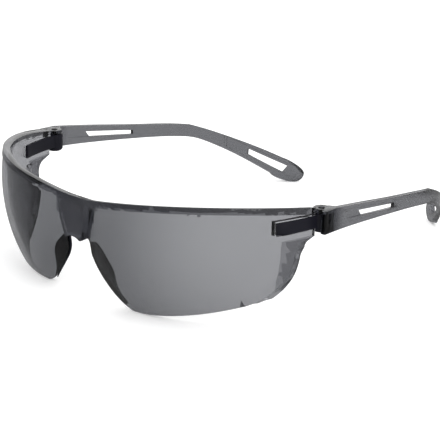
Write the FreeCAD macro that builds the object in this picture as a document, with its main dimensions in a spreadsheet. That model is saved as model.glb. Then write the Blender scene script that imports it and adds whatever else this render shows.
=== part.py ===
"""Wrap-around safety glasses: a one-piece tinted lens, nose pads, hinge blocks, pins and temples.

Every sub-part is drawn in the hinge frame: X = 0 is the plane of symmetry, Y = 0 is the line
through both hinge axes and Z = 0 is the top of the temple lugs.  Its Placement then lifts it
into the part's own frame, whose origin is the middle of the footprint on the table.
+X is the wearer's left, -Y is the front of the lens and +Z is up.
"""
import FreeCAD, Part
import Sketcher
import math
import os
from FreeCAD import Placement, Rotation, Vector

SIZES = {
    # where the hinge frame sits in the part's own frame
    "hinge_back": -29.8,
    "hinge_up": 38.17,
    # lens: tangent zones in plan, all with the same vertical curve
    "brow_center_x": 21.5,
    "brow_center_y": -11.5,
    "panel_radius": 65,
    "brow_radius": 40.1,
    "corner_radius": 42.2,
    "side_radius": 58.7,
    "corner_start": 20,
    "corner_end": 50,
    "side_end": 88,
    "valley_radius": 10,
    "drop_radius": 66,
    "bulge_level": -6.2,
    "lens_wall": 1.9,
    "rim_height": 2.3,
    "rim_proud": 0.3,
    "rim_lip": 0.5,
    "rim_level": -11.4,
    "rim_rise": 9.6,
    "rim_pitch": 10.8,
    "rim_valley_radius": 45,
    "flange_proud": 1.3,
    # hinge
    "hinge_half_width": 66,
    "barrel_radius": 3.15,
    "barrel_top": -1.9,
    "barrel_height": 6.6,
    "barrel_fillet": 1.2,
    "pin_radius": 0.8,
    "hole_radius": 0.84,
    "pin_head_radius": 1.15,
    "pin_head_height": 0.3,
    "arm_top": -2,
    "arm_height": 4.8,
    "arm_depth": 0.9,
    "arm_front": -20,
    "boss_front": -19.4,
    "boss_top": -2.25,
    "boss_height": 4.4,
    "boss_ramp": 4.6,
    "window_gap": 0.15,
    # temple
    "blade_x": 69.6,
    "blade_front": -3.4,
    "blade_start_angle": 4.5,
    "blade_radius": 1200,
    "blade_bend_angle": 7.5,
    "tail_radius": 80,
    "tail_end_angle": 54,
    "blade_thickness": 1.8,
    "lug_top": -0.3,
    "lug_thickness": 1.3,
    "lug_radius": 2.8,
    "skin_relief": 3.6,
    "groove_depth": 0.45,
    "recess_depth": 0.6,
    "recess_width": 1.5,
    "recess_height": 3.6,
    "recess_y": -1,
    "recess_z": -3.2,
    # nose pads
    "pad_gap": 0.2,
}

doc = FreeCAD.newDocument("safety_glasses")
sheet = doc.addObject("Spreadsheet::Sheet", "sizes")
for row, (alias, value) in enumerate(SIZES.items(), start=1):
    sheet.set(f"A{row}", alias)
    sheet.set(f"B{row}", str(value))
    sheet.setAlias(f"B{row}", alias)
doc.recompute()


def size(alias):
    """The value of one spreadsheet cell."""
    return float(sheet.get(alias))


# ---------------------------------------------------------------- helpers
def place(obj):
    """Lift an object from the hinge frame into the part's own frame."""
    obj.setExpression("Placement.Base.y", "sizes.hinge_back")
    obj.setExpression("Placement.Base.z", "sizes.hinge_up")


def new_body(name):
    body = doc.addObject("PartDesign::Body", name)
    body.Label = name
    place(body)
    return body


def new_sketch(body, name, role, offset=Placement()):
    """A sketch on one of the body's own origin planes."""
    plane = next(f for f in body.Origin.OriginFeatures if f.Role == role)
    sketch = body.newObject("Sketcher::SketchObject", name)
    sketch.AttachmentSupport = [(plane, "")]
    sketch.MapMode = "FlatFace"
    sketch.AttachmentOffset = offset
    return sketch


def new_feature(body, kind, name, sketch, **settings):
    feature = body.newObject(kind, name)
    feature.Profile = sketch
    for key, value in settings.items():
        setattr(feature, key, value)
    sketch.Visibility = False
    return feature


def draw_loop(sketch, points):
    """A closed outline of straight lines through (x, y) pairs."""
    corners = [Vector(x, y, 0) for x, y in points]
    for start, end in zip(corners, corners[1:] + corners[:1]):
        sketch.addGeometry(Part.LineSegment(start, end), False)


def draw_arc(sketch, center, radius, start, end):
    circle = Part.Circle(Vector(center.x, center.y, 0), Vector(0, 0, 1), radius)
    sketch.addGeometry(Part.ArcOfCircle(circle, math.radians(start), math.radians(end)), False)


def mirrored(source, name):
    """The wearer's-right twin of a wearer's-left piece."""
    twin = doc.addObject("Part::Mirroring", name)
    twin.Label = name
    twin.Source = source
    twin.Base = (0, 0, 0)
    twin.Normal = (1, 0, 0)
    return twin


# ---------------------------------------------------------------- the lens surface
def heading(degrees):
    """Unit vector in plan, measured from straight ahead (-Y) towards +X."""
    angle = math.radians(degrees)
    return Vector(math.sin(angle), -math.cos(angle), 0)


def lens_zones():
    """Tangent plan arcs from the bridge to the hinge: (center, first point, normal, sweep)."""
    brow = Vector(size("brow_center_x"), size("brow_center_y"), 0)
    brow_r, corner_r, side_r = size("brow_radius"), size("corner_radius"), size("side_radius")
    first, second, last = size("corner_start"), size("corner_end"), size("side_end")
    corner = brow + heading(first) * (brow_r - corner_r)
    side = corner + heading(second) * (corner_r - side_r)
    panel_r, valley_r = size("panel_radius"), size("valley_radius")
    panel = brow + heading(0) * (brow_r - panel_r)
    dip = math.degrees(math.asin(brow.x / (panel_r + valley_r)))
    valley = panel + heading(-dip) * (panel_r + valley_r)
    return [
        (valley, valley + Vector(0, valley_r, 0), 0, -dip),
        (panel, panel + heading(-dip) * panel_r, -dip, dip),
        (brow, brow + heading(0) * brow_r, 0, first),
        (corner, corner + heading(first) * corner_r, first, second - first),
        (side, side + heading(second) * side_r, second, last - second),
    ]


def shell_section(point, direction, outside, inside):
    """Vertical slice of the lens: a band between two arcs with one center."""
    drop, level = size("drop_radius"), size("bulge_level")
    center = point - direction * drop + Vector(0, 0, level)
    low, high = math.radians(-52), math.radians(22)

    def on_arc(radius, angle):
        return center + direction * (radius * math.cos(angle)) + Vector(0, 0, radius * math.sin(angle))

    middle = (low + high) / 2
    outer_r, inner_r = drop + outside, drop - inside
    outer = Part.Arc(on_arc(outer_r, low), on_arc(outer_r, middle), on_arc(outer_r, high))
    inner = Part.Arc(on_arc(inner_r, high), on_arc(inner_r, middle), on_arc(inner_r, low))
    top = Part.LineSegment(outer.EndPoint, inner.StartPoint)
    bottom = Part.LineSegment(inner.EndPoint, outer.StartPoint)
    edges = [outer.toShape(), top.toShape(), inner.toShape(), bottom.toShape()]
    return Part.Face(Part.Wire(edges))


def half_shell(outside, inside, zones):
    """One half of a lens-shaped shell, from `outside` beyond the lens face to `inside` behind it."""
    solids = []
    for center, point, start, sweep in zones:
        section = shell_section(point, heading(start), outside, inside)
        solids.append(section.revolve(center, Vector(0, 0, 1), sweep))
    return solids[0].fuse(solids[1:]) if len(solids) > 1 else solids[0]


def brow_curve(drop):
    """Front view of the top edge, `drop` below it: two rising lines and an arc at the bridge."""
    rise, radius = math.radians(size("rim_rise")), size("rim_valley_radius")
    apex, reach = size("rim_level") - drop, 90
    foot = radius * math.sin(rise)
    foot_z = apex + foot * math.tan(rise)
    end_z = apex + reach * math.tan(rise)
    bottom_z = apex + radius / math.cos(rise) - radius
    left = Part.LineSegment(Vector(-reach, 0, end_z), Vector(-foot, 0, foot_z))
    arc = Part.Arc(Vector(-foot, 0, foot_z), Vector(0, 0, bottom_z), Vector(foot, 0, foot_z))
    right = Part.LineSegment(Vector(foot, 0, foot_z), Vector(reach, 0, end_z))
    return [left.toShape(), arc.toShape(), right.toShape()]


def under_brow(top, bottom):
    """Solid between two levels under the top edge, which also slopes down to the back."""
    pitch = math.tan(math.radians(size("rim_pitch")))
    front, depth = -70, 90
    upper, lower = brow_curve(top), brow_curve(bottom)
    ends = [
        Part.makeLine(upper[i].Vertexes[j].Point, lower[i].Vertexes[j].Point)
        for i, j in ((0, 0), (2, 1))
    ]
    wire = Part.Wire(Part.__sortEdges__(upper + lower + ends))
    face = Part.Face(wire)
    face.translate(Vector(0, front, -front * pitch))
    return face.extrude(Vector(0, depth, -depth * pitch))


def spline_prism(curves, corners, to_vector, travel):
    """Solid swept along `travel` from an outline of splines closed by straight lines."""
    edges = []
    for points in curves:
        curve = Part.BSplineCurve()
        curve.interpolate([to_vector(*p) for p in points])
        edges.append(curve.toShape())
    for start, end in zip(corners, corners[1:]):
        edges.append(Part.makeLine(to_vector(*start), to_vector(*end)))
    return Part.Face(Part.Wire(edges)).extrude(travel)


def nose_outline():
    """What is cut away below the bridge: a low arch that widens into a bevelled nose opening."""
    arch = [(0, -14.7), (2.8, -14.9), (4.6, -16), (5.1, -18.4), (5.8, -21.8)]
    side = [(5.8, -21.8), (8.3, -25.9), (12.7, -31.5), (15.8, -34.9), (17.9, -36.6), (21, -38.2)]
    rest = [(21, -38.2), (21, -60), (-14, -60), (-14, -14.7), (0, -14.7)]
    bevel = Vector(-9, -12, 0)

    def on_tilted_plane(x, z):
        return Vector(x, -54.3 - 0.28 * z, z) + bevel

    return spline_prism([arch, side], rest, on_tilted_plane, bevel * -2)


def lower_outline():
    """What is kept of one half seen from the front, above its lower edge."""
    edge = [(8, -38.7), (20.6, -38.2), (31, -37.2), (42, -35.3), (52, -33), (63, -29.5)]
    rest = [(63, -29.5), (85, -22), (85, 20), (-2, 20), (-2, -38.7), (8, -38.7)]
    return spline_prism([edge], rest, lambda x, z: Vector(x, -70, z), Vector(0, 90, 0))


def side_outline():
    """What is kept of one half seen from the side: hinge tab, notch and rear edge."""
    notch = [(-6.4, -10.3), (-9.3, -11.8), (-10.7, -14.4)]
    rear = [(-10.7, -14.4), (-10.9, -17.5), (-12, -22.6), (-14.4, -26.6), (-18, -29.9), (-26, -35)]
    rest = [(-26, -35), (-26, -60), (-75, -60), (-75, 20), (-3.8, 20), (-3.8, -9.3), (-6.4, -10.3)]
    return spline_prism([notch, rear], rest, lambda y, z: Vector(-5, y, z), Vector(90, 0, 0))


def bridge_block():
    """Half of the thick bridge: it fills the valley and stands proud, with drafted sides."""
    slices = []
    for y, wide, middle, narrow in ((-53, 7.9, 5.7, 4), (-45, 9.9, 7.6, 4.9)):
        corners = [(-2, 0), (wide + 0.6, 0), (wide, -2.6), (middle, -8.6), (narrow, -14.9),
                   (narrow - 0.6, -15.6), (-2, -15.6)]
        slices.append(Part.makePolygon([Vector(x, y, z) for x, z in corners + corners[:1]]))
    block = Part.makeLoft(slices, True, True)
    face = [(-48.8, -2.6), (-50.6, -4), (-51.7, -7), (-51.9, -11), (-51.5, -16)]
    rest = [(-51.5, -16), (-40, -16), (-40, -2.6), (-48.8, -2.6)]
    profile = spline_prism([face], rest, lambda y, z: Vector(-3, y, z), Vector(20, 0, 0))
    depth = half_shell(6, size("lens_wall") + 0.1, lens_zones()[:2])
    return block.common(profile).common(depth)


def flange_outline():
    """Band under the hinge tab and along the rear edge, whose two front sides are slanted ramps."""
    upper = [(-3.2, -8.1), (-6.5, -8.9), (-11.5, -10), (-15.9, -11.8)]
    front = [(-15.9, -11.8), (-14.7, -15.4), (-13.7, -19.7), (-13.1, -23.3), (-12.8, -28)]
    rest = [(-12.8, -28), (-12.8, -45), (6, -45), (6, -6), (-3.2, -8.1)]
    ramp = Vector(10, 14, -9)
    return spline_prism([upper, front], rest, lambda y, z: Vector(65, y, z) - ramp, ramp * 2)


def side_angle(y):
    """Heading from the side zone's axis to the point of the lens face that lies at y."""
    axis = lens_zones()[-1][0]
    return math.degrees(math.acos((axis.y - y) / size("side_radius")))


def side_ring(inner, outer, bottom, height, front, back):
    """Piece of a ring about the side zone's axis, between two distances behind the hinge line."""
    axis = lens_zones()[-1][0]
    start, end = side_angle(front), side_angle(back)
    base = axis + Vector(0, 0, bottom)
    ring = Part.makeCylinder(outer, height, base, Vector(0, 0, 1), end - start)
    ring = ring.cut(Part.makeCylinder(inner, height, base))
    ring.rotate(base, Vector(0, 0, 1), start - 90)
    return ring


def make_lens():
    """One-piece polycarbonate shield with its brow rim, bridge, rear flanges and hinge slots."""
    zones = lens_zones()
    wall, proud = size("lens_wall"), size("rim_proud")
    rim = half_shell(proud, wall + size("rim_lip"), zones).common(under_brow(0, size("rim_height")))
    bridge = bridge_block().common(Part.makeBox(30, 60, 60, Vector(0, -80, -50)))
    flange = half_shell(size("flange_proud"), wall, zones[3:]).common(flange_outline())
    half = half_shell(0, wall, zones).fuse([rim, bridge, flange])
    half = half.common(under_brow(0, 70)).common(lower_outline()).common(side_outline())
    half = half.cut(nose_outline())
    gap, radius = size("window_gap"), size("side_radius")
    slot = side_ring(radius - 6, radius + 4, size("boss_top") - size("boss_height") - gap,
                     size("boss_height") + 2 * gap, size("boss_front") - gap, 0)
    half = half.cut(slot)
    lens = doc.addObject("Part::Feature", "lens")
    lens.Label = "lens"
    lens.Shape = half.fuse(half.mirror(Vector(0, 0, 0), Vector(1, 0, 0))).removeSplitter()
    place(lens)
    return lens


# ---------------------------------------------------------------- nose pads
def behind_panel(x, z, depth):
    """Point `depth` behind the outer face of the panel beside the nose."""
    center = lens_zones()[1][0]
    drop = size("drop_radius")
    height = z - size("bulge_level")
    radius = size("panel_radius") - drop + math.sqrt((drop - depth) ** 2 - height ** 2)
    return Vector(x, center.y - math.sqrt(radius ** 2 - (x - center.x) ** 2), z)


def lip_ring(z, nose, fullness):
    """Four-sided section of the pad's lip, which covers the bevelled nose edge of the lens."""
    back = size("lens_wall") + size("pad_gap")
    offsets = [(0.05, 0.5), (0.45, 0.25), (2, back + 0.1), (1.9, back + 0.7 * fullness)]
    corners = [behind_panel(nose + across, z, depth) for across, depth in offsets]
    return Part.makePolygon(corners + corners[:1])


def leaf_ring(z, nose, outer, fullness):
    """Domed section of the pad's leaf, flat side on the back of the lens."""
    back = size("lens_wall") + size("pad_gap")
    start, end = behind_panel(nose + 1.7, z, back), behind_panel(outer, z, back)
    center, half_width = (start + end) / 2, (end - start).Length / 2
    across = (end - start).normalize()
    crown = center + Vector(-across.y, across.x, 0) * min(2 * fullness, 0.9 * half_width)
    dome = Part.ArcOfEllipse(Part.Ellipse(end, crown, center), 0, math.pi)
    return Part.Wire([dome.toShape(), Part.makeLine(start, end)])


def make_nose_pad():
    """Soft pad that grips the nose edge of the lens and spreads over its back."""
    stations = [(-15.8, 4.5, 7.8, 0.4), (-18, 4.75, 10, 0.8), (-21.5, 5.3, 12.9, 1),
                (-25.5, 7.5, 14.3, 1.1), (-29.5, 10.6, 15, 1), (-33, 13.6, 16.6, 0.7),
                (-35.8, 16, 18.6, 0.4)]
    lip = Part.makeLoft([lip_ring(z, nose, full) for z, nose, _, full in stations], True, False)
    leaf = Part.makeLoft([leaf_ring(*station) for station in stations], True, False)
    pad = doc.addObject("Part::Feature", "nose_pad_left")
    pad.Label = "nose_pad_left"
    pad.Shape = leaf.fuse(lip)
    place(pad)
    return pad


# ---------------------------------------------------------------- hinges
def draw_side_band(sketch, outer, inner, front, back):
    """Closed band between two arcs about the side zone's axis."""
    axis = lens_zones()[-1][0]
    start, end = side_angle(front), side_angle(back)

    def at(radius, angle):
        return axis + heading(angle) * radius

    draw_arc(sketch, axis, outer, start - 90, end - 90)
    draw_arc(sketch, axis, inner, start - 90, end - 90)
    for angle in (start, end):
        sketch.addGeometry(Part.LineSegment(at(inner, angle), at(outer, angle)), False)


def make_hinge_block():
    """Dark arm behind the lens, its boss filling the lens slot, and the hinge barrel."""
    body = new_body("hinge_block_left")
    radius, wall = size("side_radius"), size("lens_wall")
    inner_wall = radius - wall - 0.35

    arm = new_sketch(body, "arm_plan", "XY_Plane")
    draw_side_band(arm, inner_wall, inner_wall - size("arm_depth"), size("arm_front"), -0.5)
    arm.setExpression("AttachmentOffset.Base.z", "sizes.arm_top")
    rail = new_feature(body, "PartDesign::Pad", "arm", arm, Reversed=True)
    rail.setExpression("Length", "sizes.arm_height")

    boss = new_sketch(body, "boss_plan", "XY_Plane")
    draw_side_band(boss, radius, inner_wall - 0.5, size("boss_front"), -2.5)
    boss.setExpression("AttachmentOffset.Base.z", "sizes.boss_top")
    block = new_feature(body, "PartDesign::Pad", "boss", boss, Reversed=True)
    block.setExpression("Length", "sizes.boss_height")

    ramp = new_sketch(body, "ramp_plan", "XY_Plane")
    axis = lens_zones()[-1][0]
    tip = axis + heading(side_angle(size("boss_front"))) * (radius - 1.1)
    heel = axis + heading(side_angle(size("boss_front") + size("boss_ramp"))) * radius
    away = (tip - axis).normalize() * 4
    draw_loop(ramp, [(p.x, p.y) for p in (tip + (tip - heel), heel, heel + away, tip + away * 2)])
    ramp.setExpression("AttachmentOffset.Base.z", "sizes.barrel_top + 3")
    new_feature(body, "PartDesign::Pocket", "front_ramp", ramp, Length=12)

    barrel_plan = new_sketch(body, "barrel_plan", "XY_Plane")
    middle = Vector(size("hinge_half_width"), 0, 0)
    barrel_plan.addGeometry(Part.Circle(middle, Vector(0, 0, 1), size("barrel_radius")), False)
    barrel_plan.addConstraint(Sketcher.Constraint("Radius", 0, size("barrel_radius")))
    barrel_plan.setExpression("Constraints[0]", "sizes.barrel_radius")
    barrel_plan.setExpression("AttachmentOffset.Base.z", "sizes.barrel_top")
    barrel = new_feature(body, "PartDesign::Pad", "barrel", barrel_plan, Reversed=True)
    barrel.setExpression("Length", "sizes.barrel_height")

    bore_plan = new_sketch(body, "bore_plan", "XY_Plane")
    bore_plan.addGeometry(Part.Circle(middle, Vector(0, 0, 1), size("pin_radius")), False)
    bore_plan.addConstraint(Sketcher.Constraint("Radius", 0, size("pin_radius")))
    bore_plan.setExpression("Constraints[0]", "sizes.pin_radius")
    bore = new_feature(body, "PartDesign::Pocket", "bore", bore_plan, Type="ThroughAll")
    bore.Midplane = True
    doc.recompute()

    foot_level = size("barrel_top") - size("barrel_height")
    rim_edges = [
        f"Edge{i}" for i, edge in enumerate(bore.Shape.Edges, start=1)
        if isinstance(edge.Curve, Part.Circle)
        and abs(edge.Curve.Radius - size("barrel_radius")) < 0.01
        and abs(edge.BoundBox.ZMax - foot_level) < 0.01 and edge.BoundBox.ZLength < 0.01
    ]
    foot = body.newObject("PartDesign::Fillet", "foot_round")
    foot.Base = (bore, rim_edges)
    foot.setExpression("Radius", "sizes.barrel_fillet")
    return body


def make_hinge_pin():
    """Round pin with a low domed head on top of the temple lug."""
    body = new_body("hinge_pin_left")
    profile = new_sketch(body, "pin_profile", "XZ_Plane")
    shaft, head = size("pin_radius"), size("pin_head_radius")
    tip = size("barrel_top") - size("barrel_height") + 0.4
    seat = size("lug_top") + 0.03
    crown = seat + size("pin_head_height")
    points = [(0, tip), (shaft, tip), (shaft, seat), (head, seat), (head, seat + 0.12),
              (head - 0.35, crown), (0, crown)]
    draw_loop(profile, points)
    turn = body.newObject("PartDesign::Revolution", "turned_pin")
    turn.Profile = profile
    turn.ReferenceAxis = (profile, ["V_Axis"])
    turn.Angle = 360
    body.setExpression("Placement.Base.x", "sizes.hinge_half_width")
    return body


# ---------------------------------------------------------------- temples
def blade_arcs():
    """Two tangent plan arcs of the temple's middle line: (center, radius, start, end) in degrees."""
    start, bend, end = size("blade_start_angle"), size("blade_bend_angle"), size("tail_end_angle")
    long_r, tail_r = size("blade_radius"), size("tail_radius")

    def toward(degrees):
        return Vector(math.cos(math.radians(degrees)), math.sin(math.radians(degrees)), 0)

    root = Vector(size("blade_x"), size("blade_front"), 0)
    first = root - toward(start) * long_r
    second = first + toward(bend) * (long_r - tail_r)
    return [(first, long_r, start, bend), (second, tail_r, bend, end)]


def blade_point(zone, angle, offset):
    """Plan point beside the blade's middle line, `offset` towards its outer face."""
    center, radius, _, _ = blade_arcs()[zone]
    ray = Vector(math.cos(math.radians(angle)), math.sin(math.radians(angle)), 0)
    return center + ray * (radius + offset)


def draw_blade_plan(sketch):
    """Closed plan of the blade: outer and inner arcs joined at both ends."""
    half = size("blade_thickness") / 2
    arcs = blade_arcs()
    for center, radius, start, end in arcs:
        draw_arc(sketch, center, radius + half, start, end)
        draw_arc(sketch, center, radius - half, start, end)
    for zone, angle in ((0, arcs[0][2]), (1, arcs[1][3])):
        ends = blade_point(zone, angle, -half), blade_point(zone, angle, half)
        sketch.addGeometry(Part.LineSegment(*ends), False)


def crescent(zone, start, end, side):
    """Tall sliver that dips into one face of the blade and fades out at both ends."""
    face = size("blade_thickness") / 2
    steps = 6
    dipping, outside = [], []
    for step in range(steps + 1):
        share = step / steps
        depth = size("groove_depth") * math.sin(math.pi * share) ** 0.6
        angle = start + (end - start) * share
        dipping.append(blade_point(zone, angle, side * (face + 0.02 - depth)))
        outside.append(blade_point(zone, angle, side * (face + 1)))
    inner, outer = Part.BSplineCurve(), Part.BSplineCurve()
    inner.interpolate(dipping)
    outer.interpolate(outside)
    ends = [Part.makeLine(dipping[i], outside[i]) for i in (0, -1)]
    wire = Part.Wire(Part.__sortEdges__([inner.toShape(), outer.toShape()] + ends))
    sliver = Part.Face(wire).extrude(Vector(0, 0, 60))
    sliver.translate(Vector(0, 0, -55))
    return sliver


def groove_tool():
    """Shallow grooves in both faces that run past both ends of each slot."""
    runs = [
        (0, 5, 6.9, [(8, -2.4), (51, -8.9), (51, -11.4), (8, -5.9)]),
        (1, 22, 51, [(86, -16.9), (112, -32.6), (110, -37), (86, -21.6)]),
    ]
    slivers = []
    for zone, start, end, band in runs:
        strip = spline_prism([], band + band[:1], lambda y, z: Vector(20, y, z), Vector(60, 0, 0))
        slivers += [crescent(zone, start, end, side).common(strip) for side in (1, -1)]
    tool = doc.addObject("Part::Feature", "slot_grooves")
    tool.Shape = slivers[0].fuse(slivers[1:] + [oval_recess()])
    return tool


def oval_recess():
    """Shallow upright oval sunk into the temple's outer skin beside the hinge."""
    floor = size("blade_x") + size("blade_thickness") / 2 - size("recess_depth")
    half_width = size("recess_width") / 2
    tall = size("recess_height") - 2 * half_width
    low = Vector(floor, size("recess_y"), size("recess_z") - tall / 2)
    ends = [Part.makeCylinder(half_width, 5, low + Vector(0, 0, dz), Vector(1, 0, 0)) for dz in (0, tall)]
    middle = Part.makeBox(5, 2 * half_width, tall, low - Vector(0, half_width, 0))
    return middle.fuse(ends)


def make_temple():
    """Temple: a thin curved blade with two grooved slots and a hinge lug over the barrel."""
    body = doc.addObject("PartDesign::Body", "temple_body")
    level = size("barrel_top") + 0.3
    plan = new_sketch(body, "blade_plan", "XY_Plane", Placement(Vector(0, 0, 2), Rotation()))
    draw_blade_plan(plan)
    new_feature(body, "PartDesign::Pad", "blade", plan, Reversed=True, Length=52)

    middle = Vector(size("hinge_half_width"), 0, 0)
    lug_plan = new_sketch(body, "lug_plan", "XY_Plane")
    lug_plan.setExpression("AttachmentOffset.Base.z", "sizes.lug_top")
    reach = size("lug_radius")
    outer_x = size("blade_x") - 0.4
    corners = [middle + Vector(0, reach, 0), Vector(outer_x, 6.2, 0), Vector(outer_x, -1.5, 0)]
    circle = Part.Circle(middle, Vector(0, 0, 1), reach)
    start_angle = -math.asin(1.5 / reach)
    foot = middle + Vector(reach * math.cos(start_angle), -1.5, 0)
    lug_plan.addGeometry(Part.ArcOfCircle(circle, math.pi / 2, 2 * math.pi + start_angle), False)
    for begin, finish in zip(corners, corners[1:] + [foot]):
        lug_plan.addGeometry(Part.LineSegment(begin, finish), False)
    lug = new_feature(body, "PartDesign::Pad", "lug", lug_plan, Reversed=True)
    lug.setExpression("Length", "sizes.lug_thickness")

    outline = new_sketch(body, "side_view", "YZ_Plane")
    front = size("blade_front")
    runs = [
        [(3.4, -0.3), (7, -0.8), (12, -1.5), (26, -3.6), (40, -5.8), (56, -8.1), (71, -10.7)],
        [(71, -10.7), (77, -13), (88, -17.9), (97, -22.4), (105.3, -27.3)],
        [(105.3, -27.3), (110, -31), (111.5, -34.2), (109.6, -37.9), (106, -37.4), (102.9, -34.7)],
        [(102.9, -34.7), (97.4, -30.5), (91.3, -26.2), (81.4, -20.4), (74.4, -17.1), (66, -14.9)],
        [(66, -14.9), (54, -13.1), (41, -11.6), (24, -9.9), (12, -8.9), (front, -8.2)],
    ]
    for points in runs:
        curve = Part.BSplineCurve()
        curve.interpolate([Vector(y, z, 0) for y, z in points])
        outline.addGeometry(curve, False)
    top = size("lug_top")
    outline.addGeometry(Part.LineSegment(Vector(front, -8.2, 0), Vector(front, top, 0)), False)
    outline.addGeometry(Part.LineSegment(Vector(front, top, 0), Vector(3.4, top, 0)), False)
    draw_loop(outline, [(-20, 20), (140, 20), (140, -70), (-20, -70)])
    new_feature(body, "PartDesign::Pocket", "side_trim", outline, Type="ThroughAll", Midplane=True)

    slots = new_sketch(body, "slots", "YZ_Plane")
    draw_loop(slots, [(17.6, -4.8), (41.2, -8.2), (41.2, -9.9), (19.3, -7.1)])
    draw_loop(slots, [(94.6, -23.3), (108, -31.5), (106.4, -34.2), (94.5, -25.7)])
    new_feature(body, "PartDesign::Pocket", "slot_cut", slots, Type="ThroughAll", Midplane=True)

    for name, alias, depth in (("skin_relief", "skin_relief", 12), ("pin_hole", "hole_radius", 4)):
        hollow = new_sketch(body, name + "_plan", "XY_Plane")
        hollow.addGeometry(Part.Circle(middle, Vector(0, 0, 1), size(alias)), False)
        hollow.addConstraint(Sketcher.Constraint("Radius", 0, size(alias)))
        hollow.setExpression("Constraints[0]", f"sizes.{alias}")
        pocket = new_feature(body, "PartDesign::Pocket", name, hollow, Length=depth)
        if name == "skin_relief":
            hollow.AttachmentOffset = Placement(Vector(0, 0, level), Rotation())
        else:
            hollow.AttachmentOffset = Placement(Vector(0, 0, 1), Rotation())

    grooved = doc.addObject("Part::Cut", "temple_left")
    grooved.Label = "temple_left"
    grooved.Base = body
    grooved.Tool = groove_tool()
    place(grooved)
    return grooved


parts = [make_lens(), make_nose_pad(), make_hinge_block(), make_hinge_pin(), make_temple()]
doc.recompute()
parts += [mirrored(p, p.Label.replace("left", "right")) for p in parts if "left" in p.Label]
doc.recompute()
os.makedirs("parts", exist_ok=True)
for obj in parts:
    shape = obj.Shape
    bad = [s for s in obj.State if s in ("Invalid", "Error")]
    print(obj.Label, len(shape.Solids), "solid", round(shape.Volume), "mm3")
    if bad or shape.isNull() or not shape.isValid():
        raise SystemExit(f"{obj.Label} did not build")
    shape.exportStep(f"parts/{obj.Label}.step")
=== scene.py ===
"""Wrap-around safety glasses: studio scene around the frame's own nodes."""
import math
import bmesh
import bpy
from mathutils import Matrix, Vector


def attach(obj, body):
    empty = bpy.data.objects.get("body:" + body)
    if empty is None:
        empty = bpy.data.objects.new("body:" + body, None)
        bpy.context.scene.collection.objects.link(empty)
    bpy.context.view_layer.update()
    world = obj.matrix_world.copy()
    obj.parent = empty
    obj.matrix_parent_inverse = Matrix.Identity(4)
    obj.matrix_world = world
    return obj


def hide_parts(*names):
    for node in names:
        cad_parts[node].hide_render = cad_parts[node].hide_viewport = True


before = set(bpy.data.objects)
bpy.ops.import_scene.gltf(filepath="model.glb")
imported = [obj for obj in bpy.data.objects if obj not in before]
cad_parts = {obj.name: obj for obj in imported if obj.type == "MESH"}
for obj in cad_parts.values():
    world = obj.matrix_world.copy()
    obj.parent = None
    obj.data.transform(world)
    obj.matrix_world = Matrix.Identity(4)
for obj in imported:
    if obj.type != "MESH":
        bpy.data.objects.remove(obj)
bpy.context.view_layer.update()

MM = 0.001
SIDES = ("left", "right")

# the hinge frame's origin in the part's frame, mm
HINGE_BACK, HINGE_UP = -29.8, 38.17

# the side of the lens about its upright axis: axis, plan radius, upright radius and its level, mm
SIDE_AXIS = Vector((8.1, 1.1))
SIDE_RADIUS = 58.7
BULGE_RADIUS = 66
BULGE_LEVEL = -6.2

# where the thicker parts of the lens are, and the rear band whose darker tint is a painted dark
# reflection, mm in the hinge frame
RIM_HEIGHT = 2.4
BRIDGE_FOOT = -15.8
BRIDGE_BACK = -70 - HINGE_BACK
BAND_SIDE, BAND_FRONT, BAND_TOP = 59, -15.5, -9.2

# rounded edges: radius in mm, and the smallest turn in degrees that counts as an edge
ROUNDING = {
    "lens": (0.15, 35),
    "temple": (0.22, 35),
    "nose_pad": (0.25, 30),
    "hinge_block": (0.2, 40),
    "hinge_pin": (0.1, 40),
}
WELD_DISTANCE = 0.000005
FLAT_ANGLE = math.radians(0.5)
SHARP_ANGLE = math.radians(40)


# ---------------------------------------------------------------- materials
def new_material(name, **settings):
    """Principled material with constant settings; returns it with its node tree and shader."""
    material = bpy.data.materials.new(name)
    material.use_nodes = True
    tree = material.node_tree
    shader = tree.nodes["Principled BSDF"]
    for socket, value in settings.items():
        shader.inputs[socket.replace("_", " ")].default_value = value
    return material, tree, shader


def add_noise(tree, scale, detail):
    """Noise in the object's own coordinates; returns its value."""
    coords = tree.nodes.new("ShaderNodeTexCoord")
    noise = tree.nodes.new("ShaderNodeTexNoise")
    noise.inputs["Scale"].default_value = scale
    noise.inputs["Detail"].default_value = detail
    noise.inputs["Roughness"].default_value = 0.55
    tree.links.new(coords.outputs["Object"], noise.inputs["Vector"])
    return noise.outputs["Fac"]


def vary_roughness(tree, shader, noise, low, high):
    """Roughness that wanders between two values with the noise."""
    ramp = tree.nodes.new("ShaderNodeMapRange")
    ramp.inputs["From Min"].default_value = 0.35
    ramp.inputs["From Max"].default_value = 0.7
    ramp.inputs["To Min"].default_value = low
    ramp.inputs["To Max"].default_value = high
    tree.links.new(noise, ramp.inputs["Value"])
    tree.links.new(ramp.outputs["Result"], shader.inputs["Roughness"])


def add_bump(tree, shader, noise, strength, depth):
    """Fine relief, `depth` metres deep, that follows the noise."""
    bump = tree.nodes.new("ShaderNodeBump")
    bump.inputs["Strength"].default_value = strength
    bump.inputs["Distance"].default_value = depth
    tree.links.new(noise, bump.inputs["Height"])
    tree.links.new(bump.outputs["Normal"], shader.inputs["Normal"])


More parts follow.
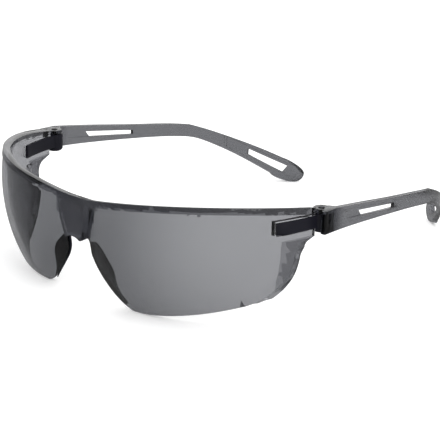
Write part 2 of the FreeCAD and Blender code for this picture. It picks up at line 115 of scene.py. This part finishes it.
def tint_along(tree, axis, start, end, first, second):
    """Colour that runs from first to second between two distances in mm along one axis.

    Along X the distance is from the plane of symmetry, so that both halves match.
    """
    coords = tree.nodes.new("ShaderNodeTexCoord")
    split = tree.nodes.new("ShaderNodeSeparateXYZ")
    tree.links.new(coords.outputs["Object"], split.inputs["Vector"])
    place = split.outputs[axis]
    if axis == "X":
        size = tree.nodes.new("ShaderNodeMath")
        size.operation = "ABSOLUTE"
        tree.links.new(place, size.inputs[0])
        place = size.outputs["Value"]
    along = tree.nodes.new("ShaderNodeMapRange")
    along.interpolation_type = "SMOOTHSTEP"
    along.inputs["From Min"].default_value = start * MM
    along.inputs["From Max"].default_value = end * MM
    tree.links.new(place, along.inputs["Value"])
    mix = tree.nodes.new("ShaderNodeMix")
    mix.data_type = "RGBA"
    tree.links.new(along.outputs["Result"], mix.inputs["Factor"])
    for letter, color in (("A", first), ("B", second)):
        for socket in mix.inputs:
            if socket.name == letter and socket.type == "RGBA":
                socket.default_value = color + (1,)
    return [socket for socket in mix.outputs if socket.type == "RGBA"][0]


def smoke_plastic(name, haze, axis, start, end, first, second):
    """Smoke-tinted polycarbonate: light loses a share at each face that it passes."""
    material, tree, shader = new_material(
        name, IOR=1.38, Transmission_Weight=1.0, Roughness=haze, Specular_IOR_Level=0.3)
    tint = tint_along(tree, axis, start, end, first, second)
    tree.links.new(tint, shader.inputs["Base Color"])
    vary_roughness(tree, shader, add_noise(tree, 45, 2.0), haze, haze + 0.02)
    return material


def dark_plastic(name, color, low, high, grain, depth):
    """Near-black moulded plastic or rubber with a fine grain and an uneven sheen."""
    material, tree, shader = new_material(name, Base_Color=color, IOR=1.5, Specular_IOR_Level=0.2)
    vary_roughness(tree, shader, add_noise(tree, 260, 4.0), low, high)
    add_bump(tree, shader, add_noise(tree, grain, 3.0), 0.35, depth)
    return material


def dark_metal(name):
    """Dark satin metal with fine wear."""
    material, tree, shader = new_material(name, Base_Color=(0.05, 0.05, 0.055, 1), Metallic=0.7)
    wear = add_noise(tree, 900, 4.0)
    vary_roughness(tree, shader, wear, 0.28, 0.5)
    add_bump(tree, shader, wear, 0.2, 0.00003)
    return material


def darken_reflections(tree, shown, dark_kind, strength):
    """Makes reflections see a dimmer studio than the eye does: `shown` is what the eye sees."""
    path = tree.nodes.new("ShaderNodeLightPath")
    dark = tree.nodes.new(dark_kind)
    dark.inputs["Color"].default_value = (1, 1, 1, 1)
    dark.inputs["Strength"].default_value = strength
    mirrored = tree.nodes.new("ShaderNodeMath")
    mirrored.operation = "SUBTRACT"
    mirrored.use_clamp = True
    tree.links.new(path.outputs["Is Glossy Ray"], mirrored.inputs[0])
    tree.links.new(path.outputs["Is Transmission Ray"], mirrored.inputs[1])
    mix = tree.nodes.new("ShaderNodeMixShader")
    tree.links.new(mirrored.outputs["Value"], mix.inputs["Fac"])
    tree.links.new(shown, mix.inputs[1])
    tree.links.new(dark.outputs[0], mix.inputs[2])
    end = [node for node in tree.nodes if node.type in ("OUTPUT_MATERIAL", "OUTPUT_WORLD")][0]
    tree.links.new(mix.outputs["Shader"], end.inputs["Surface"])


def floor_paper():
    """Plain white paper that also glows a little, which keeps the shadows faint."""
    material, tree, shader = new_material(
        "floor_paper", Base_Color=(0.9, 0.9, 0.9, 1), Roughness=0.9, Specular_IOR_Level=0.0,
        Emission_Color=(1, 1, 1, 1), Emission_Strength=0.25)
    darken_reflections(tree, shader.outputs["BSDF"], "ShaderNodeEmission", 0.3)
    return material


# smoke_plastic: name, haze, axis, start and end of the tint in mm, first and second colour
PANEL_SMOKE = smoke_plastic(
    "lens_smoke", 0.0, "X", 12, 56, (0.115, 0.118, 0.126), (0.235, 0.238, 0.25))
RIM_SMOKE = smoke_plastic(
    "rim_smoke", 0.05, "X", 20, 66, (0.024, 0.025, 0.03), (0.045, 0.046, 0.05))
BRIDGE_SMOKE = smoke_plastic(
    "bridge_smoke", 0.12, "X", 0, 8, (0.034, 0.035, 0.041), (0.03, 0.031, 0.037))
# the rear band's darker tint is a painted dark reflection on its sideways-facing surface
BAND_SMOKE_PAINTED_REFLECTION = smoke_plastic(
    "flange_smoke_painted_reflection", 0.04, "X", 55, 66, (0.09, 0.091, 0.1), (0.1, 0.101, 0.11))
FINISHES = {
    "nose_pad": dark_plastic("pad_rubber", (0.006, 0.006, 0.012, 1), 0.5, 0.7, 2600, 0.00003),
    "hinge_block": dark_plastic("hinge_plastic", (0.009, 0.009, 0.014, 1), 0.28, 0.42, 2200, 0.00002),
    "hinge_pin": dark_metal("pin_metal"),
    "temple": smoke_plastic(
        "temple_smoke", 0.14, "Y", -29, -20, (0.02, 0.021, 0.026), (0.12, 0.122, 0.13)),
}


# ---------------------------------------------------------------- pieces
def in_hinge_frame(point):
    """Distance from the plane of symmetry, then y and z in the hinge frame, all in mm."""
    return abs(point.x) / MM, point.y / MM - HINGE_BACK, point.z / MM - HINGE_UP


def turn_of(point):
    """Whole degrees around the head from straight ahead."""
    return round(math.degrees(math.atan2(point.x, -point.y)))


def brow_heights(mesh):
    """Height of the lens's top edge for each degree around the head."""
    heights = {}
    for vertex in mesh.vertices:
        turn = turn_of(vertex.co)
        for near in (turn - 1, turn, turn + 1):
            heights[near] = max(heights.get(near, -1), vertex.co.z)
    return heights


def finish_lens():
    """Gives the rim and the bridge, which are thicker, a deeper tint, and the rear band a darker tint
    that is a painted dark reflection.
    """
    mesh = bpy.data.objects["lens"].data
    mesh.materials.clear()
    for material in (PANEL_SMOKE, RIM_SMOKE, BRIDGE_SMOKE, BAND_SMOKE_PAINTED_REFLECTION):
        mesh.materials.append(material)
    heights = brow_heights(mesh)
    for face in mesh.polygons:
        x, y, z = in_hinge_frame(face.center)
        bridge_half_width = 5.1 + (z + 15) * 0.4
        if heights[turn_of(face.center)] - face.center.z < RIM_HEIGHT * MM:
            face.material_index = 1
        elif z > BRIDGE_FOOT and x < bridge_half_width and y < BRIDGE_BACK:
            face.material_index = 2
        # rear band: its darker material is a painted dark reflection
        elif x > BAND_SIDE and y > BAND_FRONT and z < BAND_TOP:
            face.material_index = 3
        else:
            face.material_index = 0


def press_flush(vertex):
    """Lays the lower front corner of the rear band on the side face of the lens."""
    x, y, z = in_hinge_frame(vertex.co)
    if not (50 < x < 60 and z < -24):
        return
    away = Vector((x, y)) - SIDE_AXIS
    drop = BULGE_RADIUS - math.sqrt(BULGE_RADIUS ** 2 - (z - BULGE_LEVEL) ** 2)
    radius = SIDE_RADIUS - drop
    if away.length > radius + 0.01:
        place = SIDE_AXIS + away * (radius / away.length)
        vertex.co.x = math.copysign(place.x * MM, vertex.co.x)
        vertex.co.y = (place.y + HINGE_BACK) * MM


def rounded_copy(name, part, body):
    """Copy of a node with its sharp edges rounded, shown in the node's place."""
    radius, smallest_turn = ROUNDING[part]
    copy = bpy.data.objects.new(f"{name}_rounded", bpy.data.objects[name].data.copy())
    bpy.context.scene.collection.objects.link(copy)
    shape = bmesh.new()
    shape.from_mesh(copy.data)
    bmesh.ops.remove_doubles(shape, verts=shape.verts, dist=WELD_DISTANCE)
    if name == "lens":
        for vertex in shape.verts:
            press_flush(vertex)
    bmesh.ops.dissolve_limit(shape, angle_limit=FLAT_ANGLE, verts=shape.verts, edges=shape.edges)
    limit = math.radians(smallest_turn)
    sharp = [edge for edge in shape.edges if edge.is_manifold and edge.calc_face_angle() > limit]
    bmesh.ops.bevel(shape, geom=sharp, offset=radius * MM, segments=3, profile=0.5,
                    affect="EDGES", clamp_overlap=True)
    shape.to_mesh(copy.data)
    shape.free()
    if "custom_normal" in copy.data.attributes:
        copy.data.attributes.remove(copy.data.attributes["custom_normal"])
    for face in copy.data.polygons:
        face.use_smooth = True
    copy.data.set_sharp_from_angle(angle=SHARP_ANGLE)
    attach(copy, body)
    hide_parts(name)


def finish_pieces():
    """Gives each node its material and shows a rounded copy of it."""
    finish_lens()
    rounded_copy("lens", "lens", "front")
    for part, material in FINISHES.items():
        for side in SIDES:
            name = f"{part}_{side}"
            mesh = bpy.data.objects[name].data
            mesh.materials.clear()
            mesh.materials.append(material)
            rounded_copy(name, part, name if part == "temple" else "front")


# ---------------------------------------------------------------- stage
def add_floor():
    """Wide plain floor just under the lowest point."""
    bpy.ops.mesh.primitive_plane_add(size=12, location=(0, 0, -0.00002))
    floor = bpy.context.object
    floor.name = "studio_floor"
    floor.data.materials.append(floor_paper())


def add_softbox(name, location, aim, width, height, radiance):
    """Rectangular soft light of a given brightness that the camera itself doesn't see."""
    data = bpy.data.lights.new(name, "AREA")
    data.shape = "RECTANGLE"
    data.size, data.size_y = width, height
    data.energy = radiance * math.pi * width * height
    lamp = bpy.data.objects.new(name, data)
    bpy.context.scene.collection.objects.link(lamp)
    lamp.location = location
    lamp.rotation_euler = (Vector(aim) - Vector(location)).to_track_quat("-Z", "Y").to_euler()
    lamp.visible_camera = False


def add_lights():
    """White surroundings and three soft lights: behind, above and at the right."""
    world = bpy.data.worlds.new("studio")
    world.use_nodes = True
    background = world.node_tree.nodes["Background"]
    background.inputs["Color"].default_value = (1, 1, 1, 1)
    background.inputs["Strength"].default_value = 1.05
    darken_reflections(world.node_tree, background.outputs[0], "ShaderNodeBackground", 0.45)
    bpy.context.scene.world = world
    add_softbox("back_softbox", (-0.62, 0.72, 0.42), (0, 0, 0.02), 0.9, 0.5, 1.0)
    add_softbox("top_softbox", (0.1, -0.1, 1.0), (0, 0, 0), 0.7, 0.7, 1.2)
    add_softbox("right_softbox", (0.9, -0.25, 0.35), (0, 0, 0.02), 0.35, 0.6, 2.5)


def add_camera():
    """Camera in front, above and to the wearer's left; its place is given in the hinge frame."""
    right = Vector((0.7391455, 0.6731804, 0.0221827))
    up = Vector((-0.2326152, 0.2242244, 0.9463686))
    forward = Vector((-0.6321029, 0.7046642, -0.3223265))
    place = Vector((378.62, -398.992 + HINGE_BACK, 166.583 + HINGE_UP)) * MM
    turn = Matrix((right, up, -forward)).transposed()
    data = bpy.data.cameras.new("camera")
    data.sensor_width = 36
    data.lens = 130.90909
    data.clip_start = 0.01
    camera = bpy.data.objects.new("camera", data)
    camera.matrix_world = Matrix.Translation(place) @ turn.to_4x4()
    bpy.context.scene.collection.objects.link(camera)
    bpy.context.scene.camera = camera


finish_pieces()
add_floor()
add_lights()
add_camera()
view = bpy.context.scene.view_settings
view.view_transform = "Standard"
view.look = "None"
